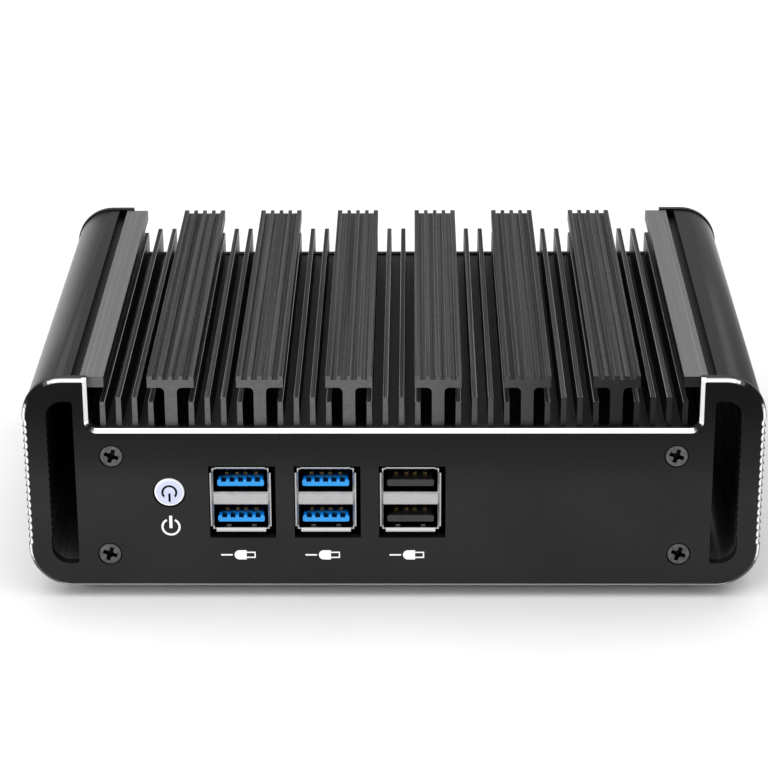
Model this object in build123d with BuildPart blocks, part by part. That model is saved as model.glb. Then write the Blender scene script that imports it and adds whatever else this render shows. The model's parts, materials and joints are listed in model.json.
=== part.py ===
"""Fanless mini PC: an extruded aluminium case whose roof is the heat sink.

Two end panels and a bottom cover close it.
Frame: X to the right seen from the front, Y to the rear, Z up.
The origin is on the table, under the middle of the case.
Heights named *_z are measured from the underside of the case, which stands foot_height above the table.
"""

import os

from build123d import *

os.makedirs("parts", exist_ok=True)

# ---- driving dimensions, millimetres ----
case_width = 178.0
case_height = 55.0
body_length = 121.5
panel_thickness = 2.5
foot_height = 3.0
case_depth = body_length + 2 * panel_thickness
port_proud = 0.3

half_width = case_width / 2
half_body = body_length / 2
half_depth = case_depth / 2

# ---- end panel outline ----
panel_chamfer = 0.9
panel_top_radius = 10.0
panel_bottom_radius = 10.5
notch_half_width = 73.1
notch_z = 41.9
notch_radius = 2.0

# ---- fluted sides and side channels ----
flute_pitch = 1.95
flute_depth = 0.32
flute_count = 17
flute_start_z = 11.3
channel_inner_x = 76.7
channel_outer_x = 83.3
channel_bottom_z = 6.4
channel_top_z = 49.2
channel_outer_radius = 4.2
channel_inner_radius = 0.9
channel_flute_start_z = flute_start_z + flute_pitch
channel_flute_count = 15
channel_flute_depth = 0.25
channel_oversize = 0.3

# ---- heat sink ----
body_inset = 0.35
fin_bay_half_width = 73.5
base_top_z = 41.5
base_bottom_z = 36.5
tee_count = 6
tee_pitch = 21.31
tee_stem = 3.0
tee_width = 11.2
tee_top_z = 54.7
tee_groove_z = 53.8
tee_under_z = 51.75
tee_fillet = 1.1
tee_ridges = ((-4.975, 1.25), (-2.45, 1.0), (0.0, 1.0), (2.45, 1.0), (4.975, 1.25))
fin_offsets = ((4.85, 48.1), (8.72, 49.3), (12.59, 49.3), (16.46, 48.1))
fin_foot = 1.4
fin_tip = 1.25
fin_chamfer = 0.08
ledge_inner_x = 69.2
ledge_top_z = 54.6
ledge_under_z = 51.9
groove_inner_x = 74.9
groove_outer_x = 77.1
groove_floor_z = 52.8

# ---- cavity for the electronics, and its screw bosses ----
cavity_half_width = 72.5
cavity_radius = 1.0
roof_boss_x = 67.9
roof_boss_z = 34.9
floor_boss_x = 69.2
floor_boss_z = 8.9
boss_radius = 3.4
floor_ledge_inner_x = 65.4
floor_ledge_top_z = 12.4
cover_thickness = 2.0
cover_half_width = 70.6
cover_gap = 0.1

# ---- M3 fasteners ----
m3_radius = 1.5
m3_clearance_radius = 1.6
m3_head_radius = 2.6
m3_sink_radius = 3.0
m3_rim = 0.15
m3_head_height = m3_rim + m3_head_radius - m3_radius
thread_gap = 0.05
panel_screw_length = 9.0
panel_screw_depth = 8.0
cover_screw_length = 7.0
screw_sink = 0.2
recess_arm = 3.6
recess_slot = 1.05
recess_core = 0.95
recess_depth = 1.3
recess_turn = 20
cover_screw_places = [(x, y) for x in (-67.2, 67.2) for y in (-46.0, 46.0)]

# ---- front ports ----
usb_centres = (-37.0, -16.45, 4.05)
usb_z = 23.65
usb_width = 13.7
usb_height = 16.1
usb_wall = 0.3
usb_depth = 17.6
usb_divider = 3.5
usb_divider_round = 0.45
usb_mouth_height = (usb_height - 2 * usb_wall - usb_divider) / 2
usb_cavity_depth = 12.0
usb_lip_reach = 0.5
usb_lip_length = 0.6
usb_lip_width = 12.0
usb_lip_height = 14.2
usb_cutout_width = 16.1
usb_cutout_height = 19.0
usb_cutout_shift = 0.4
usb_cutout_z = 22.8
tongue_width = 11.3
tongue_thickness = 1.7
tongue_round = 0.5
tongue_gap = 1.25
tongue_setback = 0.8
notch_pitch = 2.03
notch_width = 1.25
notch_length = 2.2
notch_depth = 0.6
contact_offsets = (-3.5, -1.0, 1.0, 3.5)
contact_width = 0.9
contact_height = 0.4
contact_start = 3.4
spring_offset = 3.05
spring_width = 1.1
spring_height = 0.5
spring_length = 2.2
spring_setback = 0.8
usb_mouth_z = [usb_z + side * (usb_mouth_height + usb_divider) / 2 for side in (-1, 1)]
usb_front_y = -half_depth - port_proud
usb_mouth_y = usb_front_y + usb_lip_length

# ---- power button ----
button_x = -54.2
button_z = 25.4
button_radius = 3.62
button_hole_radius = 4.0
button_travel = 0.8
button_proud = 0.0
button_flange_radius = 4.7
button_flange = 0.8
plunger_radius = 1.7
plunger_gap = 0.08
plunger_length = 3.4
button_front_y = -half_depth - button_proud
button_back_y = -half_body + 0.05
symbol_radius = 1.95
symbol_stroke = 0.55
symbol_gap = 2.6
symbol_depth = 0.12
switch_width = 7.0
switch_depth = 5.0
switch_front_y = button_back_y + button_flange + button_travel + 0.5
switch_bore = plunger_length + 0.2
power_led_width = 2.0
power_led_height = 1.2
power_led_depth = 3.0

# ---- mainboard ----
board_bottom_z = 31.7
board_thickness = 1.6
board_top_z = board_bottom_z + board_thickness
board_half_width = 63.8
board_front_y = -60.2
board_rear_y = 59.9
board_screw_places = [(x, y) for x in (-58.5, 58.5) for y in (-38.0, 34.5)]
board_screw_length = 4.7
board_screw_head = 1.8
standoff_flat = 5.5
cpu_centre = (-8.0, 0.0)
cpu_width = 35.0
cpu_length = 24.0
cpu_substrate_height = 0.6
die_width = 12.0
die_length = 9.0
die_low_z = board_top_z + cpu_substrate_height
die_high_z = die_low_z + 0.5
heat_block_size = 42.0
coin_centre = (-50.0, -20.0)
coin_radius = 10.0
coin_thickness = 3.2
coin_holder_height = 4.0
coin_holder_wall = 1.3
coin_gap = 0.1
coin_lift = 1.0
capacitor_radius = 3.2
capacitor_height = 7.5
capacitor_places = [(-53.0 + 7.0 * i, 26.0) for i in range(3)]
# name, centres, width (X), length (Y), height
top_chips = [
    ("power_inductors", [(30.0, -18.0 + 9.0 * i) for i in range(5)], 6.6, 6.6, 3.0),
]
underside_chips = [
    ("lan_controllers", [(x, 33.0) for x in (3.6, 20.8, 36.0, 49.2)], 7.0, 7.0, 0.9),
    ("sata_connector", [(-45.0, 8.0)], 8.0, 16.0, 6.0),
]
memory_x = 27.0
memory_y = 22.0
memory_width = 67.6
memory_length = 30.0
memory_socket_length = 8.0
memory_socket_z = board_bottom_z - 5.2
memory_low_z = board_bottom_z - 3.6
memory_high_z = board_bottom_z - 2.2
memory_module_y = memory_y + 1.0 - memory_length / 2
memory_mouth_shift = 3.0
memory_side_gap = 0.2
memory_socket_arm = 2.0
memory_chip_count = 4
memory_chip_pitch = 15.5
memory_chip_size = (10.5, 11.5)
memory_chip_shift = 4.0
chip_height = 1.0
slot_gap = 0.1
ssd_x = -24.0
ssd_width = 22.0
ssd_length = 80.0
ssd_y = 0.0
ssd_socket_length = 6.0
ssd_socket_height = 4.2
ssd_socket_y = ssd_y - ssd_length / 2
ssd_low_z = board_bottom_z - 3.4
ssd_high_z = board_bottom_z - 2.2
ssd_mouth_shift = 2.5
ssd_chip_offsets = (-24.0, -2.0, 20.0)
ssd_chip_size = (14.0, 18.0)
ssd_screw_radius = 2.4
ssd_screw_head = 1.0
ssd_recess_arm = 2.8
ssd_recess_slot = 0.6

# ---- rear ports ----
port_rear_y = half_depth + port_proud
jack_top_z = board_bottom_z
lan_centres = (3.6, 20.8, 38.0, 55.2)
lan_width = 15.9
lan_height = 13.4
lan_depth = 21.0
lan_wall = 0.3
plug_width = 11.9
plug_low_z = jack_top_z - 9.8
plug_high_z = jack_top_z - 2.6
plug_depth = 14.0
latch_width = 6.2
latch_height = 1.4
lan_insert_setback = 0.4
lan_contact_count = 8
lan_contact_pitch = 1.02
lan_contact_width = 0.45
lan_contact_height = 0.7
lan_contact_setback = 3.0
led_width = 2.2
led_x = 6.2
led_low_z = jack_top_z - 12.8
led_high_z = jack_top_z - 11.2
led_depth = 3.0
led_setback = 0.3
dc_x = -55.0
dc_z = jack_top_z - 5.6
dc_radius = 4.4
dc_hole_radius = 4.7
dc_bore_radius = 3.2
dc_bore_depth = 10.0
dc_pin_radius = 1.05
dc_pin_setback = 1.5
dc_body_width = 9.0
dc_body_depth = 13.0
dc_body_drop = 5.0
hdmi_x = -38.0
hdmi_width = 15.2
hdmi_height = 6.2
dp_x = -17.0
dp_width = 17.0
dp_height = 6.4
video_wall = 0.35
video_depth = 12.5
video_cavity = 8.5
video_setback = 1.5
# name, x, width, height, width at the foot, height of the knee
video_ports = [
    ("hdmi", hdmi_x, hdmi_width, hdmi_height, 11.2, 3.4),
    ("displayport", dp_x, dp_width, dp_height, 15.4, 4.8),
]
antenna_x = 60.0
antenna_z = 11.0
antenna_hole_radius = 3.25
antenna_plug_rim = 1.0
antenna_plug_gap = 0.05

# ---- bottom cover ----
vesa_spacing = 75.0
vesa_radius = 1.65
vent_count = 11
vent_pitch = 5.0
vent_width = 2.2
vent_length = 22.0
vent_row_y = 16.0
foot_radius = 6.0
foot_places = [(x, y) for x in (-58.0, 58.0) for y in (-49.0, 49.0)]
foot_dimple_radius = 2.4
foot_dimple_depth = 1.2


def up(z):
    """Height above the table of a height above the case's underside."""
    return z + foot_height


def upright(y):
    """Vertical plane across the case at y, facing the front: its local x is X and its local y is Z."""
    return Plane.XZ.offset(-y)


def save(part, name):
    part.label = name
    export_step(part, f"parts/{name}.step")


# ---------------------------------------------------------------- profiles


def flutes(x, start_z, count, depth):
    """A row of round flutes up a side, each an arc that dips inwards by depth."""
    for i in range(count):
        low = up(start_z + i * flute_pitch)
        ThreePointArc((x, low), (x - depth, low + flute_pitch / 2), (x, low + flute_pitch))


def outline(inset, notched=True):
    """End panel's outline drawn inset from its edge, with or without the notch that bares the fins."""
    x = half_width - inset
    low, high = up(inset), up(case_height - inset)
    bottom_r, top_r = panel_bottom_radius - inset, panel_top_radius - inset
    flutes_top = up(flute_start_z + flute_count * flute_pitch)
    wall, floor, corner = notch_half_width + inset, up(notch_z - inset), notch_radius + inset
    with BuildSketch() as sketch:
        with BuildLine():
            Line((0, low), (x - bottom_r, low))
            RadiusArc((x - bottom_r, low), (x, low + bottom_r), -bottom_r)
            Line((x, low + bottom_r), (x, up(flute_start_z)))
            flutes(x, flute_start_z, flute_count, flute_depth)
            Line((x, flutes_top), (x, high - top_r))
            RadiusArc((x, high - top_r), (x - top_r, high), -top_r)
            if notched:
                Line((x - top_r, high), (wall, high))
                Line((wall, high), (wall, floor + corner))
                RadiusArc((wall, floor + corner), (wall - corner, floor), corner)
                Line((wall - corner, floor), (0, floor))
            else:
                Line((x - top_r, high), (0, high))
            mirror(about=Plane.YZ)
        make_face()
    return sketch.sketch


def channels(grow=0.0):
    """Tall slots of both side channels; the outer side of each is fluted like the case."""
    inner, outer = channel_inner_x - grow, channel_outer_x + grow
    low, high = up(channel_bottom_z - grow), up(channel_top_z + grow)
    big, small = channel_outer_radius + grow, channel_inner_radius
    flutes_low = up(channel_flute_start_z)
    flutes_high = flutes_low + channel_flute_count * flute_pitch
    with BuildSketch() as sketch:
        with BuildLine():
            Line((inner + small, low), (outer - big, low))
            RadiusArc((outer - big, low), (outer, low + big), -big)
            Line((outer, low + big), (outer, flutes_low))
            flutes(outer, channel_flute_start_z, channel_flute_count, channel_flute_depth)
            Line((outer, flutes_high), (outer, high - big))
            RadiusArc((outer, high - big), (outer - big, high), -big)
            Line((outer - big, high), (inner + small, high))
            RadiusArc((inner + small, high), (inner, high - small), -small)
            Line((inner, high - small), (inner, low + small))
            RadiusArc((inner, low + small), (inner + small, low), -small)
        make_face()
        mirror(about=Plane.YZ)
    return sketch.sketch


def upright_bar(x, width, low, high, mode=Mode.ADD):
    """Rectangle on an upright plane, centred on x and spanning the heights low to high."""
    with Locations((x, up((low + high) / 2))):
        Rectangle(width, high - low, mode=mode)


def both_sides_bar(inner, outer, low, high, mode=Mode.ADD):
    """The same upright rectangle on the left and on the right."""
    for side in (-1, 1):
        upright_bar(side * (inner + outer) / 2, outer - inner, low, high, mode)


def tee_fin():
    """Profile of one thick fin: a stem, a wide cap and the ridges along its top."""
    with BuildSketch() as sketch:
        upright_bar(0, tee_stem, base_top_z - 0.5, tee_groove_z)
        upright_bar(0, tee_width, tee_under_z, tee_groove_z)
        for offset, width in tee_ridges:
            upright_bar(offset, width, tee_groove_z - 0.2, tee_top_z)
        under_cap = sketch.vertices().filter_by(
            lambda v: abs(v.Y - up(tee_under_z)) < 0.01 and abs(v.X) < tee_stem
        )
        fillet(under_cap, tee_fillet)
    return sketch.sketch


def thin_fin(top_z):
    """Profile of one thin fin, slightly thinner at its tip."""
    low, high = up(base_top_z - 0.5), up(top_z)
    with BuildSketch() as sketch:
        with BuildLine():
            Polyline(
                (-fin_foot / 2, low),
                (-fin_tip / 2, high - fin_chamfer),
                (-fin_tip / 2 + fin_chamfer, high),
                (fin_tip / 2 - fin_chamfer, high),
                (fin_tip / 2, high - fin_chamfer),
                (fin_foot / 2, low),
                close=True,
            )
        make_face()
    return sketch.sketch


def facing_rear(y):
    """Upright plane at y whose normal points to the rear."""
    return Plane((0, y, 0), x_dir=(-1, 0, 0), z_dir=(0, 1, 0))


# ---------------------------------------------------------------- fasteners


def countersunk_screw(length):
    """M3 countersunk cross-recess screw: its head's top is at the origin and its shank points down."""
    with BuildPart() as screw:
        with BuildSketch(Plane.XZ):
            with BuildLine():
                Polyline(
                    (0, 0),
                    (m3_head_radius, 0),
                    (m3_head_radius, -m3_rim),
                    (m3_radius, -m3_head_height),
                    (m3_radius, -length + 0.4),
                    (m3_radius - 0.4, -length),
                    (0, -length),
                    close=True,
                )
            make_face()
        revolve(axis=Axis.Z)
        with BuildSketch(Plane.XY):
            Rectangle(recess_arm, recess_slot)
            Rectangle(recess_slot, recess_arm)
            Circle(recess_core)
        extrude(amount=-recess_depth, taper=12, mode=Mode.SUBTRACT)
    return screw.part


def pan_screw(radius, length, head_radius, head_height):
    """Small pan-head screw: the underside of its head is at the origin and its shank points up."""
    with BuildPart() as screw:
        Cylinder(radius, length, align=(Align.CENTER, Align.CENTER, Align.MIN))
        Cylinder(head_radius, head_height, align=(Align.CENTER, Align.CENTER, Align.MAX))
        fillet(screw.edges().group_by(Axis.Z)[0], head_height * 0.4)
        with BuildSketch(Plane.XY.offset(-head_height)):
            Rectangle(head_radius * 1.1, head_radius * 0.26)
            Rectangle(head_radius * 0.26, head_radius * 1.1)
        extrude(amount=head_height * 0.55, mode=Mode.SUBTRACT)
    return screw.part


panel_screw_places = [(side * roof_boss_x, up(roof_boss_z)) for side in (-1, 1)]
panel_screw_places += [(side * floor_boss_x, up(floor_boss_z)) for side in (-1, 1)]


# ---------------------------------------------------------------- case


def housing_profile():
    """Whole cross-section of the extrusion: roof with fins, side walls with channels, ledges and bosses."""
    with BuildSketch() as sketch:
        add(outline(body_inset, notched=False))
        upright_bar(0, 2 * fin_bay_half_width, base_top_z, case_height + 1, Mode.SUBTRACT)
        add(channels(channel_oversize), mode=Mode.SUBTRACT)
        both_sides_bar(groove_inner_x, groove_outer_x, groove_floor_z, case_height, Mode.SUBTRACT)
        upright_bar(0, 2 * cavity_half_width, floor_ledge_top_z, base_bottom_z, Mode.SUBTRACT)
        upright_bar(0, 2 * floor_ledge_inner_x, -1, floor_ledge_top_z + 0.1, Mode.SUBTRACT)
        upright_bar(0, 2 * (cover_half_width + cover_gap), -1, cover_thickness + cover_gap, Mode.SUBTRACT)
        both_sides_bar(roof_boss_x, cavity_half_width + 0.1, roof_boss_z - boss_radius, base_bottom_z + 0.1)
        both_sides_bar(roof_boss_x - boss_radius, roof_boss_x + 0.1, roof_boss_z, base_bottom_z + 0.1)
        with Locations(*[(side * roof_boss_x, up(roof_boss_z)) for side in (-1, 1)]):
            Circle(boss_radius)
        both_sides_bar(ledge_inner_x, groove_inner_x, ledge_under_z, ledge_top_z)
        for i in range(tee_count):
            with Locations(((i - (tee_count - 1) / 2) * tee_pitch, 0)):
                add(tee_fin())
        for bay in range(tee_count + 1):
            for offset, top_z in fin_offsets:
                with Locations(((bay - (tee_count + 1) / 2) * tee_pitch + offset, 0)):
                    add(thin_fin(top_z))
    return sketch.sketch


with BuildPart() as heatsink_housing:
    with BuildSketch(upright(-half_body)):
        add(housing_profile())
    extrude(amount=-body_length)
    for end in (upright(-half_body), facing_rear(half_body)):
        with BuildSketch(end):
            with Locations(*panel_screw_places):
                Circle(m3_radius + thread_gap)
        extrude(amount=-panel_screw_depth, mode=Mode.SUBTRACT)
    with BuildSketch(Plane.XY.offset(up(cover_thickness))):
        with Locations(*cover_screw_places):
            Circle(m3_radius + thread_gap)
    extrude(amount=cover_screw_length - cover_thickness + 0.5, mode=Mode.SUBTRACT)
save(heatsink_housing.part, "heatsink_housing")


def end_panel():
    """Blank end panel in the front position, with its side slots and countersunk screw holes."""
    with BuildPart() as panel:
        with BuildSketch(upright(-half_body)):
            add(outline(0))
        extrude(amount=panel_thickness - panel_chamfer)
        with BuildSketch(upright(-half_depth + panel_chamfer)):
            add(outline(0))
        with BuildSketch(upright(-half_depth)):
            add(outline(panel_chamfer))
        loft(ruled=True)
        with BuildSketch(upright(-half_depth)):
            add(channels())
        extrude(amount=-panel_thickness, mode=Mode.SUBTRACT)
        with Locations(upright(-half_depth)):
            with Locations(*panel_screw_places):
                CounterSinkHole(m3_clearance_radius, m3_sink_radius, counter_sink_angle=90)
    return panel.part


panel_blank = end_panel()

with BuildPart() as front_panel:
    add(panel_blank)
    with BuildSketch(upright(-half_depth)):
        with Locations((button_x, up(button_z))):
            Circle(button_hole_radius)
        with Locations(*[(x + usb_cutout_shift, up(usb_cutout_z)) for x in usb_centres]):
            Rectangle(usb_cutout_width, usb_cutout_height)
    extrude(amount=-panel_thickness, mode=Mode.SUBTRACT)
save(front_panel.part, "front_panel")

with BuildPart() as rear_panel:
    add(mirror(panel_blank, about=Plane.XZ))
    with BuildSketch(upright(half_depth)):
        for x in lan_centres:
            upright_bar(x, lan_width + 0.6, jack_top_z - lan_height - 0.3, jack_top_z + 0.3)
        upright_bar(hdmi_x, hdmi_width + 0.8, jack_top_z - hdmi_height - 0.5, jack_top_z + 0.3)
        upright_bar(dp_x, dp_width + 0.8, jack_top_z - dp_height - 0.5, jack_top_z + 0.3)
        with Locations((dc_x, up(dc_z))):
            Circle(dc_hole_radius)
        with Locations(*[(side * antenna_x, up(antenna_z)) for side in (-1, 1)]):
            Circle(antenna_hole_radius)
    extrude(amount=panel_thickness, mode=Mode.SUBTRACT)
save(rear_panel.part, "rear_panel")

with BuildPart() as bottom_cover:
    with BuildSketch(Plane.XY.offset(up(0))):
        RectangleRounded(2 * cover_half_width, body_length - 0.2, 1.5)
    extrude(amount=cover_thickness)
    chamfer(bottom_cover.edges().group_by(Axis.Z)[0], 0.3)
    with BuildSketch(Plane.XY.offset(up(0))):
        with GridLocations(vesa_spacing, vesa_spacing, 2, 2):
            Circle(vesa_radius)
        for row in (-1, 1):
            with Locations((0, row * vent_row_y)):
                with GridLocations(vent_pitch, 1, vent_count, 1):
                    SlotOverall(vent_length, vent_width, rotation=90)
    extrude(amount=cover_thickness, mode=Mode.SUBTRACT)
    with Locations(Plane.XY.offset(up(0)).rotated((180, 0, 0))):
        with Locations(*cover_screw_places):
            CounterSinkHole(m3_clearance_radius, m3_sink_radius, counter_sink_angle=90)
save(bottom_cover.part, "bottom_cover")

with BuildPart() as rubber_feet:
    with BuildSketch(Plane.XY):
        with Locations(*foot_places):
            Circle(foot_radius)
    extrude(amount=foot_height)
    chamfer(rubber_feet.edges().group_by(Axis.Z)[0], 0.6)
    with BuildSketch(Plane.XY):
        with Locations(*foot_places):
            Circle(foot_dimple_radius)
    extrude(amount=foot_dimple_depth, mode=Mode.SUBTRACT)
save(rubber_feet.part, "rubber_feet")

panel_screw = countersunk_screw(panel_screw_length)

with BuildPart() as front_panel_screws:
    with Locations(upright(-half_depth + screw_sink)):
        with Locations(*panel_screw_places):
            add(panel_screw, rotation=(0, 0, -recess_turn))
save(front_panel_screws.part, "front_panel_screws")

with BuildPart() as rear_panel_screws:
    with Locations(facing_rear(half_depth - screw_sink)):
        with Locations(*panel_screw_places):
            add(panel_screw, rotation=(0, 0, recess_turn))
save(rear_panel_screws.part, "rear_panel_screws")

with BuildPart() as bottom_cover_screws:
    with Locations(Plane.XY.offset(up(screw_sink)).rotated((180, 0, 0))):
        with Locations(*cover_screw_places):
            add(countersunk_screw(cover_screw_length))
save(bottom_cover_screws.part, "bottom_cover_screws")


# ---------------------------------------------------------------- mainboard


def slab(centre, width, length, low, high, mode=Mode.ADD):
    """Flat block of the given width (X) and length (Y) between two heights above the case's underside."""
    with BuildSketch(Plane.XY.offset(up(low))) as footprint:
        with Locations(centre):
            Rectangle(width, length)
    extrude(footprint.sketch, amount=high - low, mode=mode)


with BuildPart() as mainboard:
    with BuildSketch(Plane.XY.offset(up(board_bottom_z))):
        with Locations((0, (board_front_y + board_rear_y) / 2)):
            RectangleRounded(2 * board_half_width, board_rear_y - board_front_y, 1.5)
        with Locations(*board_screw_places):
            Circle(m3_clearance_radius, mode=Mode.SUBTRACT)
    extrude(amount=board_thickness)
save(mainboard.part, "mainboard")

with BuildPart() as board_standoffs:
    with BuildSketch(Plane.XY.offset(up(board_top_z))):
        with Locations(*board_screw_places):
            RegularPolygon(standoff_flat / 2, 6, major_radius=False)
            Circle(m3_radius + thread_gap, mode=Mode.SUBTRACT)
    extrude(amount=base_bottom_z - board_top_z)
save(board_standoffs.part, "board_standoffs")

with BuildPart() as mainboard_screws:
    with Locations(*[(x, y, up(board_bottom_z)) for x, y in board_screw_places]):
        add(pan_screw(m3_radius, board_screw_length, m3_head_radius, board_screw_head))
save(mainboard_screws.part, "mainboard_screws")

with BuildPart() as cpu_substrate:
    slab(cpu_centre, cpu_width, cpu_length, board_top_z, board_top_z + cpu_substrate_height)
save(cpu_substrate.part, "cpu_substrate")

with BuildPart() as cpu_die:
    slab(cpu_centre, die_width, die_length, die_low_z, die_high_z)
save(cpu_die.part, "cpu_die")

with BuildPart() as copper_heat_block:
    slab(cpu_centre, heat_block_size, heat_block_size, die_high_z, base_bottom_z)
    chamfer(copper_heat_block.edges().filter_by(Axis.Z), 1.5)
save(copper_heat_block.part, "copper_heat_block")

for name, centres, width, length, height in top_chips:
    with BuildPart() as chip_group:
        for centre in centres:
            slab(centre, width, length, board_top_z, board_top_z + height)
    save(chip_group.part, name)

for name, centres, width, length, height in underside_chips:
    with BuildPart() as chip_group:
        for centre in centres:
            slab(centre, width, length, board_bottom_z - height, board_bottom_z)
    save(chip_group.part, name)

with BuildPart() as polymer_capacitors:
    with BuildSketch(Plane.XY.offset(up(board_bottom_z))):
        with Locations(*capacitor_places):
            Circle(capacitor_radius)
    extrude(amount=-capacitor_height)
    fillet(polymer_capacitors.edges().group_by(Axis.Z)[0], 0.6)
save(polymer_capacitors.part, "polymer_capacitors")

with BuildPart() as memory_socket:
    socket_width = memory_width + 2 * memory_socket_arm
    mouth_centre = (memory_x, memory_y - memory_mouth_shift)
    slab((memory_x, memory_y), socket_width, memory_socket_length, memory_socket_z, board_bottom_z)
    slab(mouth_centre, memory_width, memory_socket_length, memory_low_z, memory_high_z, Mode.SUBTRACT)
save(memory_socket.part, "memory_socket")

with BuildPart() as memory_module:
    module_width = memory_width - 2 * memory_side_gap
    module_low_z, module_high_z = memory_low_z + slot_gap, memory_high_z - slot_gap
    slab((memory_x, memory_module_y), module_width, memory_length, module_low_z, module_high_z)
save(memory_module.part, "memory_module")

with BuildPart() as memory_chips:
    for i in range(memory_chip_count):
        chip_x = memory_x + (i - (memory_chip_count - 1) / 2) * memory_chip_pitch
        chip_centre = (chip_x, memory_module_y - memory_chip_shift)
        slab(chip_centre, *memory_chip_size, module_low_z - chip_height, module_low_z)
save(memory_chips.part, "memory_chips")

with BuildPart() as ssd_socket:
    ssd_socket_z = board_bottom_z - ssd_socket_height
    mouth_centre = (ssd_x, ssd_socket_y + ssd_mouth_shift)
    slab((ssd_x, ssd_socket_y), ssd_width, ssd_socket_length, ssd_socket_z, board_bottom_z)
    slab(mouth_centre, ssd_width + 1, ssd_socket_length, ssd_low_z, ssd_high_z, Mode.SUBTRACT)
save(ssd_socket.part, "ssd_socket")

with BuildPart() as ssd_board:
    stick_low_z, stick_high_z = ssd_low_z + slot_gap, ssd_high_z - slot_gap
    slab((ssd_x, ssd_y), ssd_width, ssd_length, stick_low_z, stick_high_z)
save(ssd_board.part, "ssd_board")

with BuildPart() as ssd_chips:
    for offset in ssd_chip_offsets:
        slab((ssd_x, ssd_y + offset), *ssd_chip_size, stick_low_z - chip_height, stick_low_z)
save(ssd_chips.part, "ssd_chips")

ssd_fixing = (ssd_x, ssd_y + ssd_length / 2)
with BuildPart() as ssd_post:
    with BuildSketch(Plane.XY.offset(up(stick_high_z))):
        with Locations(ssd_fixing):
            Circle(ssd_screw_radius)
    extrude(amount=board_bottom_z - stick_high_z)
save(ssd_post.part, "ssd_post")

with BuildPart() as ssd_screw:
    with BuildSketch(Plane.XY.offset(up(stick_low_z))):
        with Locations(ssd_fixing):
            Circle(ssd_screw_radius)
    extrude(amount=-ssd_screw_head)
    with BuildSketch(Plane.XY.offset(up(stick_low_z - ssd_screw_head))):
        with Locations(ssd_fixing):
            Rectangle(ssd_recess_arm, ssd_recess_slot)
            Rectangle(ssd_recess_slot, ssd_recess_arm)
    extrude(amount=ssd_screw_head * 0.6, mode=Mode.SUBTRACT)
save(ssd_screw.part, "ssd_screw")

with BuildPart() as coin_cell_holder:
    with BuildSketch(Plane.XY.offset(up(board_bottom_z))):
        with Locations(coin_centre):
            Circle(coin_radius + coin_gap + coin_holder_wall)
            Circle(coin_radius + coin_gap, mode=Mode.SUBTRACT)
    extrude(amount=-coin_holder_height)
save(coin_cell_holder.part, "coin_cell_holder")

with BuildPart() as coin_cell:
    with BuildSketch(Plane.XY.offset(up(board_bottom_z - coin_lift))):
        with Locations(coin_centre):
            Circle(coin_radius)
    extrude(amount=-coin_thickness)
    fillet(coin_cell.edges().group_by(Axis.Z)[0], 0.5)
save(coin_cell.part, "coin_cell")


# ---------------------------------------------------------------- front ports


def centred_block(width, height, x, z, front_y, depth, mode=Mode.ADD):
    """Block of the given width and height centred on x and z, reaching back from front_y by depth."""
    with BuildSketch(upright(front_y)) as face:
        with Locations((x, up(z))):
            Rectangle(width, height)
    extrude(face.sketch, amount=-depth, mode=mode)


def flare(width, height, x, z):
    """Tapered block from a mouth of the given size out to the front of the port's lips."""
    with BuildSketch(upright(usb_mouth_y)) as narrow:
        with Locations((x, up(z))):
            Rectangle(width, height)
    with BuildSketch(upright(usb_front_y)) as wide:
        with Locations((x, up(z))):
            Rectangle(width + 2 * usb_lip_reach, height + 2 * usb_lip_reach)
    with BuildPart() as taper:
        loft([narrow.sketch.face(), wide.sketch.face()], ruled=True)
    return taper.part


def usb_shell(x):
    """Folded steel shell of a double-stack port: two mouths, four flared lips, two floor springs."""
    inner_width, inner_height = usb_width - 2 * usb_wall, usb_height - 2 * usb_wall
    lip_span_x, lip_span_z = usb_width + 2 * usb_lip_reach, usb_height + 2 * usb_lip_reach
    floor_z = usb_z - inner_height / 2
    with BuildPart() as shell:
        centred_block(usb_width, usb_height, x, usb_z, usb_mouth_y, usb_depth)
        mouth_depth = usb_depth - usb_wall
        for z in usb_mouth_z:
            centred_block(inner_width, usb_mouth_height, x, z, usb_mouth_y, mouth_depth, Mode.SUBTRACT)
        divider_edges = shell.edges().filter_by(Axis.X).filter_by_position(
            Axis.Z, up(usb_z - usb_divider / 2) - 0.01, up(usb_z + usb_divider / 2) + 0.01
        )
        fillet(divider_edges.group_by(Axis.Y)[0], usb_divider_round)
        add(flare(usb_width, usb_height, x, usb_z))
        add(flare(inner_width, inner_height, x, usb_z), mode=Mode.SUBTRACT)
        with BuildSketch(upright(usb_front_y)) as corners:
            with Locations((x, up(usb_z))):
                Rectangle(lip_span_x + 1, lip_span_z + 1)
                Rectangle(usb_lip_width, lip_span_z + 1, mode=Mode.SUBTRACT)
                Rectangle(lip_span_x + 1, usb_lip_height, mode=Mode.SUBTRACT)
        extrude(corners.sketch, amount=-usb_lip_length, mode=Mode.SUBTRACT)
        spring_y, spring_z = usb_mouth_y + spring_setback, floor_z + spring_height / 2
        for spring_x in (x - spring_offset, x + spring_offset):
            centred_block(spring_width, spring_height, spring_x, spring_z, spring_y, spring_length)
    return shell.part


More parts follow.
